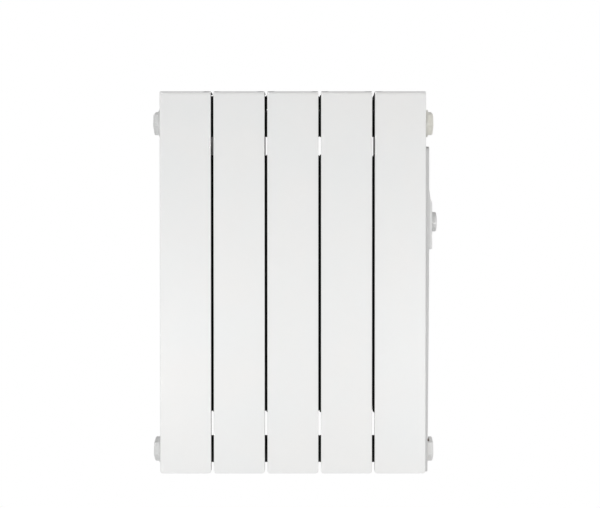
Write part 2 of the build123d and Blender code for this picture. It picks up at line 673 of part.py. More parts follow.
with BuildPart() as terminal_block:
    with BuildSketch(side_plane(BOARD_X)):
        with Locations((HEADER_Y, height(TERMINAL_BLOCK_HEIGHT))):
            Rectangle(30, 10)
    extrude(amount=-11)
    with BuildSketch(side_plane(BOARD_X - 11)):
        with Locations(*[(HEADER_Y + step, height(TERMINAL_BLOCK_HEIGHT)) for step in (-10, 0, 10)]):
            Circle(2.0)
    extrude(amount=3, mode=Mode.SUBTRACT)
save(terminal_block, "terminal_block")

with BuildPart() as thermostat_potentiometer:
    with BuildSketch(side_plane(board_face_x)):
        with Locations((control_y, knob_z)):
            Circle(8.5)
    extrude(amount=6.0)
    with BuildSketch(side_plane(board_face_x + 6)):
        with Locations((control_y, knob_z)):
            Circle(4.5)
    extrude(amount=4.0)
    with BuildSketch(side_plane(board_face_x + 1.5)):
        with Locations((control_y, knob_z)):
            Circle(SHAFT_RADIUS + SHAFT_CLEARANCE)
    extrude(amount=12, mode=Mode.SUBTRACT)
save(thermostat_potentiometer, "thermostat_potentiometer")

with BuildPart() as control_shaft:
    with BuildSketch(side_plane(board_face_x + 2)):
        with Locations((control_y, knob_z)):
            Circle(SHAFT_RADIUS)
    extrude(amount=KNOB_FACE_X - 2.0 - board_face_x - 2)
    chamfer(control_shaft.faces().sort_by(Axis.X)[-1].edges(), length=0.4)
save(control_shaft, "control_shaft")

# ---- knob ---------------------------------------------------------------------------
with BuildPart() as thermostat_knob:
    with BuildSketch(side_plane(KNOB_BASE_X)):
        with Locations((control_y, knob_z)):
            Circle(KNOB_RADIUS)
    extrude(amount=KNOB_FACE_X - KNOB_BASE_X)
    fillet(thermostat_knob.faces().sort_by(Axis.X)[-1].edges(), radius=1.8)
    # finger flutes round the rim, left plain at the foot that turns inside the collar
    with BuildSketch(side_plane(KNOB_BASE_X + 1.8)):
        with Locations((control_y, knob_z)):
            with PolarLocations(KNOB_RADIUS + 0.5, KNOB_FLUTES):
                Circle(KNOB_FLUTE_RADIUS)
    extrude(amount=KNOB_FACE_X - KNOB_BASE_X, mode=Mode.SUBTRACT)
    # pointer groove that reads against the collar
    with BuildSketch(side_plane(KNOB_FACE_X - 0.7)):
        with Locations((control_y, knob_z + KNOB_RADIUS - 5.5)):
            RectangleRounded(1.6, 7.0, 0.7)
    extrude(amount=2, mode=Mode.SUBTRACT)
    # hollow underside round the boss that grips the shaft
    with BuildSketch(side_plane(KNOB_BASE_X)):
        with Locations((control_y, knob_z)):
            Circle(KNOB_RADIUS - 2.4)
            Circle(5.2, mode=Mode.SUBTRACT)
    extrude(amount=3.4, mode=Mode.SUBTRACT)
    with BuildSketch(side_plane(KNOB_BASE_X)):
        with Locations((control_y, knob_z)):
            Circle(SHAFT_RADIUS)
    extrude(amount=KNOB_FACE_X - 2.0 - KNOB_BASE_X, mode=Mode.SUBTRACT)
save(thermostat_knob, "thermostat_knob")

with BuildPart() as knob_collar:
    with BuildSketch(side_plane(FASCIA_X)):
        with Locations((control_y, knob_z)):
            Circle(COLLAR_FOOT)
    with BuildSketch(side_plane(FASCIA_X + COLLAR_HEIGHT)):
        with Locations((control_y, knob_z)):
            Circle(COLLAR_LIP)
    loft()
    with BuildSketch(side_plane(FASCIA_X)):
        with Locations((control_y, knob_z)):
            Circle(COLLAR_BORE)
    extrude(amount=COLLAR_HEIGHT, mode=Mode.SUBTRACT)
save(knob_collar, "knob_collar")

# ---- power switch -------------------------------------------------------------------
with BuildPart() as switch_body:
    with BuildSketch(side_plane(board_face_x)):
        with Locations((control_y, rocker_z)):
            Rectangle(SWITCH_WIDTH, SWITCH_LENGTH)
    extrude(amount=FASCIA_X - board_face_x)
    with BuildSketch(side_plane(ROCKER_PIVOT_X - 4.4)):
        with Locations((control_y, rocker_z)):
            Rectangle(SWITCH_CAVITY_WIDTH, SWITCH_CAVITY_LENGTH)
    extrude(amount=20, mode=Mode.SUBTRACT)
    with BuildSketch(front_plane(control_y - SWITCH_WIDTH / 2)):
        with Locations((ROCKER_PIVOT_X, rocker_z)):
            Circle(PIVOT_RADIUS + SHAFT_CLEARANCE)
    extrude(amount=-SWITCH_WIDTH, mode=Mode.SUBTRACT)
save(switch_body, "switch_body")

tilt = radians(ROCKER_TILT)
rocker_outline = (
    (-1.6, ROCKER_HALF),
    (1.5, ROCKER_HALF),
    (0.7, 0.0),
    (1.5, -ROCKER_HALF),
    (-1.6, -ROCKER_HALF),
)
with BuildPart() as power_rocker:
    with BuildSketch(front_plane(control_y - ROCKER_WIDTH / 2)):
        with BuildLine():
            Polyline(
                *[
                    (
                        ROCKER_PIVOT_X + out * cos(tilt) - up * sin(tilt),
                        rocker_z + out * sin(tilt) + up * cos(tilt),
                    )
                    for out, up in rocker_outline
                ],
                close=True,
            )
        make_face()
    extrude(amount=-ROCKER_WIDTH)
    with BuildSketch(front_plane(control_y - SWITCH_WIDTH / 2 + 0.2)):
        with Locations((ROCKER_PIVOT_X, rocker_z)):
            Circle(PIVOT_RADIUS)
    extrude(amount=-(SWITCH_WIDTH - 0.4))
save(power_rocker, "power_rocker")

# ---- indicator light ----------------------------------------------------------------
with BuildPart() as indicator_lamp:
    with BuildSketch(side_plane(board_face_x)):
        with Locations((control_y, lens_z)):
            Circle(1.5)
    extrude(amount=4.0)
    fillet(indicator_lamp.faces().sort_by(Axis.X)[-1].edges(), radius=1.3)
save(indicator_lamp, "indicator_lamp")

with BuildPart() as indicator_lens:
    with BuildSketch(side_plane(board_face_x + 4.4)):
        with Locations((control_y, lens_z)):
            Circle(LENS_RADIUS)
    extrude(amount=FASCIA_X + 0.6 - board_face_x - 4.4)
    fillet(indicator_lens.faces().sort_by(Axis.X)[-1].edges(), radius=0.5)
save(indicator_lens, "indicator_lens")

# ---- fascia that carries the knob and the switch ------------------------------------
with BuildPart() as control_fascia:
    with BuildSketch(front_plane(depth(FASCIA_FRONT))):
        with BuildLine():
            Polyline(
                (COVER_OUTER_X, height(FASCIA_TOP)),
                (FASCIA_X - 2.6, height(125.2)),
                (FASCIA_X, height(120.0)),
                (FASCIA_X, height(FASCIA_BOTTOM + 1.5)),
                (FASCIA_X - 1.5, height(FASCIA_BOTTOM)),
                (COVER_OUTER_X, height(FASCIA_BOTTOM)),
                close=True,
            )
        make_face()
    extrude(amount=FASCIA_FRONT - FASCIA_BACK)
    long_edges = control_fascia.edges().filter_by_position(Axis.X, FASCIA_X - 0.1, FASCIA_X + 0.1)
    fillet(long_edges.filter_by(Axis.Z), radius=1.6)
    with BuildSketch(front_plane(depth(FASCIA_FRONT + FASCIA_WALL))):
        with BuildLine():
            Polyline(
                (COVER_OUTER_X, height(FASCIA_TOP - 13)),
                (FASCIA_X - 4.1, height(123.7)),
                (FASCIA_X - FASCIA_WALL, height(119.0)),
                (FASCIA_X - FASCIA_WALL, height(FASCIA_BOTTOM + FASCIA_WALL)),
                (COVER_OUTER_X, height(FASCIA_BOTTOM + FASCIA_WALL)),
                close=True,
            )
        make_face()
    extrude(amount=FASCIA_FRONT - FASCIA_BACK + 2 * FASCIA_WALL, mode=Mode.SUBTRACT)
    with BuildSketch(side_plane(COVER_OUTER_X)):
        with Locations(*[(depth(d), height(h)) for d, h in FASCIA_POSTS]):
            Circle(POST_RADIUS)
    extrude(amount=FASCIA_X - FASCIA_WALL / 2 - COVER_OUTER_X)
    with BuildSketch(side_plane(COVER_OUTER_X)):
        with Locations(*[(depth(d), height(h)) for d, h in FASCIA_POSTS]):
            Circle(1.2)
    extrude(amount=3.4, mode=Mode.SUBTRACT)
    # openings for the shaft, the switch and the lens
    with BuildSketch(side_plane(COVER_OUTER_X)):
        with Locations((control_y, knob_z)):
            Circle(4.6)
        with Locations((control_y, rocker_z)):
            Rectangle(SWITCH_WIDTH + 0.2, SWITCH_LENGTH + 0.2)
        with Locations((control_y, lens_z)):
            Circle(LENS_RADIUS + 0.1)
    extrude(amount=20, mode=Mode.SUBTRACT)
save(control_fascia, "control_fascia")

with BuildPart() as fascia_screws:
    with BuildSketch(side_plane(COVER_OUTER_X - COVER_WALL)):
        with Locations(*[(depth(d), height(h)) for d, h in FASCIA_POSTS]):
            Circle(2.4)
    extrude(amount=-1.5)
    with BuildSketch(side_plane(COVER_OUTER_X - COVER_WALL)):
        with Locations(*[(depth(d), height(h)) for d, h in FASCIA_POSTS]):
            Circle(1.15)
    extrude(amount=COVER_WALL + 3)
save(fascia_screws, "fascia_screws")

# ---- wiring -------------------------------------------------------------------------


def build_lead(name, lead_depth, stud_y):
    """A heater lead: down behind the side cover, out to the cap and onto its stud."""
    lead_y = depth(lead_depth)
    route = (
        (LEAD_X, lead_y, height(TERMINAL_BLOCK_HEIGHT) - 5.1),
        (LEAD_X, lead_y, LOWER_HEADER_Z + 44),
        (LEAD_X + 6, stud_y, LOWER_HEADER_Z + 21.1),
        (LEAD_END_X, stud_y, LOWER_HEADER_Z + 16.9),
        (LEAD_END_X, stud_y, LOWER_HEADER_Z + TERMINAL_RADIUS + 0.1),
    )
    with BuildPart() as lead:
        with BuildLine():
            wire = FilletPolyline(*route, radius=[18, 9, 6.5])
        with BuildSketch(Plane(origin=wire @ 0, z_dir=wire % 0)):
            Circle(LEAD_RADIUS)
        sweep()
    save(lead, name)


build_lead("live_lead", LEAD_DEPTHS[0], HEADER_Y - SHEATH_OFFSET)
build_lead("neutral_lead", LEAD_DEPTHS[1], HEADER_Y + SHEATH_OFFSET)

tube_face_x = END_SECTION_X + TUBE_WIDTH / 2
with BuildPart() as earth_lead:
    with BuildLine():
        earth_wire = FilletPolyline(
            (LEAD_X, HEADER_Y, height(TERMINAL_BLOCK_HEIGHT) - 5.1),
            (LEAD_X, HEADER_Y, height(EARTH_HEIGHT + 10)),
            (tube_face_x + 3.0, HEADER_Y, height(EARTH_HEIGHT + 7)),
            (tube_face_x + 1.1, HEADER_Y, height(EARTH_HEIGHT + 4.6)),
            radius=[8, 3],
        )
    with BuildSketch(Plane(origin=earth_wire @ 0, z_dir=earth_wire % 0)):
        Circle(LEAD_RADIUS)
    sweep()
save(earth_lead, "earth_lead")

with BuildPart() as earth_screw:
    with BuildSketch(side_plane(tube_face_x)):
        with Locations((HEADER_Y, height(EARTH_HEIGHT))):
            Circle(3.6)
    extrude(amount=2.6)
    with BuildSketch(side_plane(tube_face_x)):
        with Locations((HEADER_Y, height(EARTH_HEIGHT))):
            Circle(1.65)
    extrude(amount=-TUBE_WALL + 1)
save(earth_screw, "earth_screw")

with BuildPart() as thermal_cutout:
    with BuildSketch(side_plane(tube_face_x)):
        with Locations((HEADER_Y, height(CUTOUT_HEIGHT))):
            Circle(8.0)
    extrude(amount=6.0)
    with BuildSketch(side_plane(tube_face_x + 6)):
        with Locations((HEADER_Y, height(CUTOUT_HEIGHT) - 4), (HEADER_Y, height(CUTOUT_HEIGHT) + 4)):
            Rectangle(6.3, 0.8)
    extrude(amount=6.0)
save(thermal_cutout, "thermal_cutout")

with BuildPart() as room_sensor:
    with BuildSketch(side_plane(SENSOR_X)):
        with Locations((depth(SENSOR_DEPTH), height(SENSOR_HEIGHT))):
            RectangleRounded(5, 9, 2.4)
    extrude(amount=4.0)
save(room_sensor, "room_sensor")

with BuildPart() as sensor_lead:
    with BuildLine():
        sensor_wire = FilletPolyline(
            (LEAD_X - 2.0, depth(61.0), height(TERMINAL_BLOCK_HEIGHT) - 5.1),
            (LEAD_X - 2.0, depth(61.0), height(-100)),
            (SENSOR_X + 1.5, depth(SENSOR_DEPTH), height(-150)),
            (SENSOR_X + 1.5, depth(SENSOR_DEPTH), height(SENSOR_HEIGHT + 4.6)),
            radius=[60, 60],
        )
    with BuildSketch(Plane(origin=sensor_wire @ 0, z_dir=sensor_wire % 0)):
        Circle(0.8)
    sweep()
save(sensor_lead, "sensor_lead")


# ---- wall brackets ------------------------------------------------------------------
def cradle_point(header_z, angle):
    """A point on the arm's round cradle, by its angle above the wall side of the header."""
    y = HEADER_Y + CRADLE_RADIUS * cos(radians(angle))
    z = header_z + CRADLE_RADIUS * sin(radians(angle))
    return (y, z)


def build_bracket(name, side, header_z, hooked):
    """Pressed steel bracket: a wall plate bent forward into an arm that holds a header."""
    arm_x = side * BRACKET_X
    with BuildPart() as bracket:
        with BuildSketch(side_plane(arm_x - HOOK_THICKNESS / 2)):
            with BuildLine():
                if hooked:
                    start = cradle_point(header_z, -10)
                    end = cradle_point(header_z, 200)
                    Polyline((-1, header_z - UPPER_PLATE_HALF - 16), (-1, start[1]), start)
                    ThreePointArc(start, (HEADER_Y, header_z - CRADLE_RADIUS), end)
                    Polyline(
                        end,
                        (end[0] - 4.6, end[1]),
                        (end[0] - 4.6, header_z - 17),
                        (HEADER_Y - 7, header_z - CRADLE_RADIUS - 13),
                        (HEADER_Y + 35, header_z - UPPER_PLATE_HALF - 14),
                        (-1, header_z - UPPER_PLATE_HALF - 16),
                    )
                else:
                    start = cradle_point(header_z, 10)
                    middle = cradle_point(header_z, 45)
                    end = cradle_point(header_z, 95)
                    Polyline((-1, header_z + 34), (-1, start[1]), start)
                    ThreePointArc(start, middle, end)
                    Polyline(end, (end[0], end[1] + 6), (HEADER_Y + 30, header_z + 34), (-1, header_z + 34))
            make_face()
        extrude(amount=HOOK_THICKNESS)
        plate_x = side * (BRACKET_X + HOOK_THICKNESS / 2 - PLATE_WIDTH / 2)
        if hooked:
            plate_low = -UPPER_PLATE_HALF - 1
            plate_high = UPPER_PLATE_HALF
            holes = [(side * FIXING_X, z) for z in (-FIXING_HALF_HEIGHT, FIXING_HALF_HEIGHT)]
        else:
            plate_low = header_z
            plate_high = header_z + 2 * LOWER_FIXING_ABOVE_HEADER
            holes = [(side * FIXING_X, header_z + LOWER_FIXING_ABOVE_HEADER)]
        with BuildSketch(front_plane(-PLATE_THICKNESS)):
            with Locations((plate_x, (plate_low + plate_high) / 2)):
                RectangleRounded(PLATE_WIDTH, plate_high - plate_low, 4.0)
            with Locations(*holes):
                Circle(FIXING_RADIUS, mode=Mode.SUBTRACT)
        extrude(amount=-PLATE_THICKNESS)
    save(bracket, name)


build_bracket("upper_left_bracket", -1, UPPER_HEADER_Z, True)
build_bracket("upper_right_bracket", 1, UPPER_HEADER_Z, True)
build_bracket("lower_left_bracket", -1, LOWER_HEADER_Z, False)
build_bracket("lower_right_bracket", 1, LOWER_HEADER_Z, False)

with BuildPart() as hook_pads:
    # part-round plastic saddles between the steel arms and the painted hubs
    for side in (-1, 1):
        for header_z, first_angle, sweep_angle in ((UPPER_HEADER_Z, 190, 160), (LOWER_HEADER_Z, 10, 85)):
            with BuildSketch(side_plane(side * BRACKET_X - PAD_WIDTH / 2)):
                with BuildLine():
                    centre = (HEADER_Y, header_z)
                    outer = CenterArc(centre, CRADLE_RADIUS - 0.05, first_angle, sweep_angle)
                    inner = CenterArc(centre, HUB_RADIUS + 0.05, first_angle, sweep_angle)
                    Line(outer @ 0, inner @ 0)
                    Line(outer @ 1, inner @ 1)
                make_face()
            extrude(amount=PAD_WIDTH)
save(hook_pads, "hook_pads")
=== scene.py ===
"""Looks of a wall-hung fluid-filled radiator: materials, fine trim, light and camera."""
import json
import math

import bmesh
import bpy
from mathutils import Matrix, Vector


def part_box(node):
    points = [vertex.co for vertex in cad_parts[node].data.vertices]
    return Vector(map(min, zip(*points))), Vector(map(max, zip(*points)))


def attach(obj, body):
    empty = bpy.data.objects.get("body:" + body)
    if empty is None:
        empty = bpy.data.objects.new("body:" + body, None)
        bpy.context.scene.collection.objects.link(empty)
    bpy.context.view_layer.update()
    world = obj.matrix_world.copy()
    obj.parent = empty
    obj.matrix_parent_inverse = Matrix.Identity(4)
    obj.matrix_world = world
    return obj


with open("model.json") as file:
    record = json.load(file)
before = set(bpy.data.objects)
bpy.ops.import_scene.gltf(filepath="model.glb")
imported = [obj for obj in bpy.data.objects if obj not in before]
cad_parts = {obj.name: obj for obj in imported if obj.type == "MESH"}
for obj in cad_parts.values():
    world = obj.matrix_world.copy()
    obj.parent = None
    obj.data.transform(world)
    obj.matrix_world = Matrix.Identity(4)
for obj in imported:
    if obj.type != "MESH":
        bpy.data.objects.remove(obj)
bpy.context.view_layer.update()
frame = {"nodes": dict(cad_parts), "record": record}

MM = 0.001

# ---- places taken from the frame ------------------------------------------------------
panel_low, panel_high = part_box("element_3")
FRONT_Y = panel_low[1]
PANEL_TOP = panel_high[2]
PANEL_BOTTOM = panel_low[2]
PANEL_MID = (PANEL_TOP + PANEL_BOTTOM) / 2
SECTION_PITCH = 80 * MM  # typed here, as it is in part.py
SECTION_DEPTH = panel_high[1] - panel_low[1]


# ---- small node helpers -----------------------------------------------------------------
class Nodes:
    """A material's node tree with short calls for the nodes used here."""

    def __init__(self, name):
        self.material = bpy.data.materials.new(name)
        self.material.use_nodes = True
        self.tree = self.material.node_tree
        self.shader = self.tree.nodes["Principled BSDF"]
        self.coords = self.tree.nodes.new("ShaderNodeTexCoord").outputs["Object"]

    def link(self, source, target):
        self.tree.links.new(source, target)

    def stretched(self, scale):
        """Object coordinates multiplied by a different factor along each axis."""
        node = self.tree.nodes.new("ShaderNodeMapping")
        node.inputs["Scale"].default_value = scale
        self.link(self.coords, node.inputs["Vector"])
        return node.outputs["Vector"]

    def noise(self, scale, detail=4.0, roughness=0.5, coords=None):
        node = self.tree.nodes.new("ShaderNodeTexNoise")
        node.inputs["Scale"].default_value = scale
        node.inputs["Detail"].default_value = detail
        node.inputs["Roughness"].default_value = roughness
        self.link(coords or self.coords, node.inputs["Vector"])
        return node.outputs["Fac"]

    def cells(self, scale):
        node = self.tree.nodes.new("ShaderNodeTexVoronoi")
        node.inputs["Scale"].default_value = scale
        self.link(self.coords, node.inputs["Vector"])
        return node.outputs["Distance"]

    def waves(self, scale, direction="X", distortion=0.0):
        node = self.tree.nodes.new("ShaderNodeTexWave")
        node.bands_direction = direction
        node.inputs["Scale"].default_value = scale
        node.inputs["Distortion"].default_value = distortion
        self.link(self.coords, node.inputs["Vector"])
        return node.outputs["Fac"]

    def axis(self, name):
        node = self.tree.nodes.new("ShaderNodeSeparateXYZ")
        self.link(self.coords, node.inputs[0])
        return node.outputs[name]

    def math(self, operation, first, second=None):
        node = self.tree.nodes.new("ShaderNodeMath")
        node.operation = operation
        for socket, value in zip(node.inputs, (first, second)):
            if value is None:
                continue
            if isinstance(value, (int, float)):
                socket.default_value = value
            else:
                self.link(value, socket)
        return node.outputs[0]

    def smooth(self, value, low, high, out_low=0.0, out_high=1.0):
        """A smooth step from out_low to out_high as value goes from low to high."""
        node = self.tree.nodes.new("ShaderNodeMapRange")
        node.interpolation_type = "SMOOTHSTEP"
        ends = {"From Min": low, "From Max": high, "To Min": out_low, "To Max": out_high}
        for name, number in ends.items():
            node.inputs[name].default_value = number
        self.link(value, node.inputs["Value"])
        return node.outputs["Result"]

    def mix(self, factor, first, second):
        """Blend of two colours, each an (r, g, b) or another node's colour."""
        node = self.tree.nodes.new("ShaderNodeMix")
        node.data_type = "RGBA"
        for name, value in (("Factor", factor), ("A", first), ("B", second)):
            socket = colour_socket(node, name)
            if isinstance(value, tuple):
                socket.default_value = (*value, 1.0)
            elif isinstance(value, (int, float)):
                socket.default_value = value
            else:
                self.link(value, socket)
        return [out for out in node.outputs if out.type == "RGBA"][0]

    def bump(self, height, strength, distance, below=None):
        node = self.tree.nodes.new("ShaderNodeBump")
        node.inputs["Strength"].default_value = strength
        node.inputs["Distance"].default_value = distance
        self.link(height, node.inputs["Height"])
        if below is not None:
            self.link(below, node.inputs["Normal"])
        return node.outputs["Normal"]

    def rounded(self, radius):
        """A shading normal that turns sharp edges as if they had this radius."""
        node = self.tree.nodes.new("ShaderNodeBevel")
        node.samples = 4
        node.inputs["Radius"].default_value = radius
        return node.outputs["Normal"]

    def finish(self, colour, roughness, normal=None, metallic=0.0, **sockets):
        shader = self.shader
        if isinstance(colour, tuple):
            shader.inputs["Base Color"].default_value = (*colour, 1.0)
        else:
            self.link(colour, shader.inputs["Base Color"])
        if isinstance(roughness, (int, float)):
            shader.inputs["Roughness"].default_value = roughness
        else:
            self.link(roughness, shader.inputs["Roughness"])
        if normal is not None:
            self.link(normal, shader.inputs["Normal"])
        shader.inputs["Metallic"].default_value = metallic
        for name, value in sockets.items():
            shader.inputs[name.replace("_", " ")].default_value = value
        return self.material


def colour_socket(node, name):
    """A Mix node's input for colours, whose twins for other kinds of value share its name."""
    kind = "VALUE" if name == "Factor" else "RGBA"
    return [s for s in node.inputs if s.name == name and s.type == kind][0]


# ---- materials --------------------------------------------------------------------------
def painted_shade_mask(nodes):
    """1 where a casting's inner faces get a near-black painted shade, and 0 on its outside.

    Over most of their height the gaps between the sections are black with shade, and this mask
    paints that shade into the colour of the inner faces, chosen for that look. This mask is one
    guess at why: it is chosen for that look, and shadow alone may be the real cause. It starts a few
    millimetres inside the front and rear faces, and ends near the outer panels' edges. It covers the
    fins, and above and below them only a band beside each joint.
    """
    shade_starts, shade_full = 3 * MM, 6 * MM
    side_full, side_ends = 183 * MM, 190 * MM
    band_ends, band_full = SECTION_PITCH / 2 - 16 * MM, SECTION_PITCH / 2 - 9 * MM
    fins_full, fins_end = 190 * MM, 200 * MM
    fins_mid = PANEL_MID + 4 * MM
    depth = nodes.math("SUBTRACT", nodes.axis("Y"), FRONT_Y)
    edge_noise = nodes.math("MULTIPLY", nodes.noise(70, 3), 3 * MM)
    ragged = nodes.math("ADD", depth, edge_noise)
    behind = nodes.smooth(ragged, shade_starts, shade_full)
    before = nodes.smooth(ragged, SECTION_DEPTH - shade_full, SECTION_DEPTH - shade_starts, 1.0, 0.0)
    width = nodes.math("ABSOLUTE", nodes.axis("X"))
    inside = nodes.smooth(width, side_full, side_ends, 1.0, 0.0)
    joint = nodes.math("PINGPONG", width, SECTION_PITCH / 2)
    near_joint = nodes.smooth(joint, band_ends, band_full)
    height = nodes.math("ABSOLUTE", nodes.math("SUBTRACT", nodes.axis("Z"), fins_mid))
    fins = nodes.smooth(height, fins_full, fins_end, 1.0, 0.0)
    zone = nodes.math("MAXIMUM", fins, near_joint)
    mask = nodes.math("MULTIPLY", behind, before)
    mask = nodes.math("MULTIPLY", mask, inside)
    return nodes.math("MULTIPLY", mask, zone)


def powder_coat(name, colour, with_painted_shade=False):
    """Satin powder coat: faint orange peel, fine specks and slow drifts of tone; optionally a
    near-black painted shade on a casting's inner faces.
    """
    nodes = Nodes(name)
    drift = nodes.smooth(nodes.noise(9, 3, 0.55), 0.3, 0.7)
    warm = tuple(c * k for c, k in zip(colour, (1.0, 0.996, 0.988)))
    cool = tuple(c * k for c, k in zip(colour, (0.985, 0.993, 0.992)))
    tone = nodes.mix(drift, cool, warm)
    specks = nodes.smooth(nodes.noise(2600, 1), 0.72, 0.8)
    tone = nodes.mix(specks, tone, tuple(c * 0.93 for c in colour))
    roughness = nodes.smooth(nodes.noise(420, 3), 0.3, 0.7, 0.36, 0.46)
    if with_painted_shade:
        # painted shade: where the mask is 1 the inner faces are coloured near black, standing in for
        # the shade in the gaps between the sections
        mask = painted_shade_mask(nodes)
        tone = nodes.mix(mask, tone, (0.004, 0.004, 0.0045))
        roughness = nodes.math("MAXIMUM", roughness, nodes.math("MULTIPLY", mask, 0.85))
    peel = nodes.bump(nodes.noise(650, 2, 0.45), 0.35, 0.05 * MM)
    grain = nodes.bump(nodes.noise(4200, 2), 0.15, 0.02 * MM, below=peel)
    return nodes.finish(tone, roughness, grain)


def enamel(name, colour, yellowed):
    """Enamel with slow drifts of tone and soft waves, yellower to the right as in the photograph."""
    nodes = Nodes(name)
    rightward = nodes.smooth(nodes.axis("X"), -0.05, 0.20)
    tone = nodes.mix(rightward, colour, yellowed)
    drift = nodes.smooth(nodes.noise(90, 4, 0.6), 0.35, 0.7)
    tone = nodes.mix(nodes.math("MULTIPLY", drift, 0.12), tone, (0.42, 0.42, 0.40))
    rubs = nodes.smooth(nodes.noise(520, 5, 0.65, nodes.stretched((1, 0.35, 0.35))), 0.68, 0.76)
    tone = nodes.mix(nodes.math("MULTIPLY", rubs, 0.3), tone, (0.45, 0.45, 0.43))
    roughness = nodes.smooth(nodes.noise(300, 3), 0.3, 0.7, 0.28, 0.45)
    waves = nodes.bump(nodes.noise(240, 3), 0.4, 0.08 * MM, below=nodes.rounded(0.5 * MM))
    pits = nodes.bump(nodes.noise(1900, 2), 0.25, 0.04 * MM, below=waves)
    return nodes.finish(tone, roughness, pits)


def moulded(name, colour, gloss=0.42, texture=0.35):
    """Injection-moulded plastic with a fine spark-eroded texture and slight flow marks."""
    nodes = Nodes(name)
    flow = nodes.smooth(nodes.noise(22, 4, 0.6, nodes.stretched((1, 1, 0.3))), 0.35, 0.65)
    tone = nodes.mix(flow, colour, tuple(c * 0.96 for c in colour))
    roughness = nodes.smooth(nodes.noise(900, 3), 0.3, 0.7, gloss - 0.05, gloss + 0.08)
    erosion = nodes.bump(nodes.noise(3000, 3, 0.6), texture, 0.04 * MM, below=nodes.rounded(0.5 * MM))
    sink = nodes.bump(nodes.noise(60, 2), 0.12, 0.15 * MM, below=erosion)
    return nodes.finish(tone, roughness, sink)


def rubber(name):
    nodes = Nodes(name)
    bloom = nodes.smooth(nodes.noise(260, 5, 0.65), 0.45, 0.75)
    tone = nodes.mix(bloom, (0.018, 0.018, 0.019), (0.06, 0.06, 0.058))
    texture = nodes.bump(nodes.noise(2200, 4), 0.5, 0.05 * MM)
    return nodes.finish(tone, 0.78, texture)


def metal(name, colour, tint, roughness=0.34, streaks=(1, 1, 1)):
    """Metal with a streaked finish and a second colour in slow patches."""
    nodes = Nodes(name)
    patches = nodes.smooth(nodes.noise(120, 4, 0.6), 0.35, 0.7)
    tone = nodes.mix(patches, colour, tint)
    lines = nodes.noise(1500, 4, 0.6, nodes.stretched(streaks))
    rough = nodes.smooth(lines, 0.3, 0.7, roughness - 0.08, roughness + 0.12)
    brushed = nodes.bump(lines, 0.35, 0.03 * MM)
    return nodes.finish(tone, rough, brushed, metallic=1.0)


def raw_casting(name):
    nodes = Nodes(name)
    patches = nodes.smooth(nodes.noise(150, 5, 0.6), 0.3, 0.7)
    tone = nodes.mix(patches, (0.55, 0.56, 0.57), (0.40, 0.41, 0.42))
    skin = nodes.bump(nodes.noise(900, 5, 0.7), 0.8, 0.15 * MM)
    return nodes.finish(tone, 0.55, skin, metallic=1.0)


def circuit_board(name):
    """Green solder mask with raised tracks and pads."""
    nodes = Nodes(name)
    tracks = nodes.smooth(nodes.waves(160, "Z", 6.0), 0.55, 0.62)
    pads = nodes.smooth(nodes.cells(260), 0.16, 0.2, 1.0, 0.0)
    tone = nodes.mix(tracks, (0.012, 0.075, 0.028), (0.03, 0.16, 0.05))
    tone = nodes.mix(pads, tone, (0.55, 0.54, 0.50))
    raised = nodes.bump(nodes.math("ADD", tracks, pads), 0.6, 0.05 * MM)
    return nodes.finish(tone, 0.32, raised)


def insulation(name, colour):
    """Extruded wire insulation with faint lengthwise ripples."""
    nodes = Nodes(name)
    ripple = nodes.noise(900, 3, 0.5, nodes.stretched((1, 1, 0.08)))
    tone = nodes.mix(nodes.smooth(ripple, 0.3, 0.7), colour, tuple(c * 0.8 for c in colour))
    return nodes.finish(tone, 0.4, nodes.bump(ripple, 0.3, 0.04 * MM))


def earth_insulation(name):
    """Green insulation with a yellow stripe that winds along it."""
    nodes = Nodes(name)
    stripe = nodes.smooth(nodes.waves(120, "DIAGONAL"), 0.55, 0.6)
    tone = nodes.mix(stripe, (0.05, 0.27, 0.05), (0.75, 0.62, 0.04))
    return nodes.finish(tone, 0.4, nodes.bump(nodes.noise(1200, 3), 0.25, 0.03 * MM))


def lens(name, colour):
    """Tinted clear plastic with a fine frosted pattern moulded into it."""
    nodes = Nodes(name)
    facets = nodes.cells(1500)
    tone = nodes.mix(nodes.smooth(facets, 0.1, 0.6), colour, tuple(c * 0.7 for c in colour))
    return nodes.finish(
        tone, 0.18, nodes.bump(facets, 0.5, 0.06 * MM), Transmission_Weight=0.45, IOR=1.49
    )


